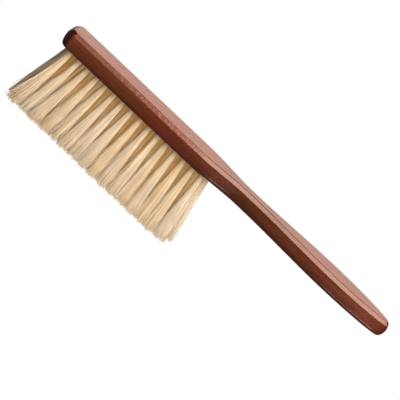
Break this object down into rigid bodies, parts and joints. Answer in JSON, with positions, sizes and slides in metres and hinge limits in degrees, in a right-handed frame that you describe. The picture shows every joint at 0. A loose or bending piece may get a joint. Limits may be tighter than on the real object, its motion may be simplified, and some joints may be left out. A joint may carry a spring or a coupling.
{
  "type": "neck duster brush",
  "caption": "Long flat wooden brush with a rounded head, waisted neck and swelling grip, and rows of soft fanned bristle tufts for sweeping hair off a neck.",
  "frame": {"origin": "middle of the brush's box, at the level of the bristle tips that it stands on", "axes": "+X along the board from the head to the handle's tip, +Z out of the flat back face, +Y across the board"},
  "size_m": [0.3032, 0.0262, 0.0706],
  "materials": {
    "lacquered_wood": "gloss",
    "bristle": "satin",
    "anchor_metal": "satin"
  },
  "bodies": {
    "root": {"wooden_handle": "lacquered_wood", "front_tuft_01": "bristle", "front_tuft_02": "bristle", "front_tuft_03": "bristle", "front_tuft_04": "bristle", "front_tuft_05": "bristle", "front_tuft_06": "bristle", "front_tuft_07": "bristle", "front_tuft_08": "bristle", "front_tuft_09": "bristle", "front_tuft_10": "bristle", "front_tuft_11": "bristle", "front_tuft_12": "bristle", "front_tuft_13": "bristle", "front_tuft_14": "bristle", "front_tuft_15": "bristle", "front_tuft_16": "bristle", "middle_tuft_01": "bristle", "middle_tuft_02": "bristle", "middle_tuft_03": "bristle", "middle_tuft_04": "bristle", "middle_tuft_05": "bristle", "middle_tuft_06": "bristle", "middle_tuft_07": "bristle", "middle_tuft_08": "bristle", "middle_tuft_09": "bristle", "middle_tuft_10": "bristle", "middle_tuft_11": "bristle", "middle_tuft_12": "bristle", "middle_tuft_13": "bristle", "middle_tuft_14": "bristle", "middle_tuft_15": "bristle", "middle_tuft_16": "bristle", "middle_tuft_17": "bristle", "back_tuft_01": "bristle", "back_tuft_02": "bristle", "back_tuft_03": "bristle", "back_tuft_04": "bristle", "back_tuft_05": "bristle", "back_tuft_06": "bristle", "back_tuft_07": "bristle", "back_tuft_08": "bristle", "back_tuft_09": "bristle", "back_tuft_10": "bristle", "back_tuft_11": "bristle", "back_tuft_12": "bristle", "back_tuft_13": "bristle", "back_tuft_14": "bristle", "back_tuft_15": "bristle", "back_tuft_16": "bristle", "front_row_anchors": "anchor_metal", "middle_row_anchors": "anchor_metal", "back_row_anchors": "anchor_metal"}
  },
  "joints": []
}
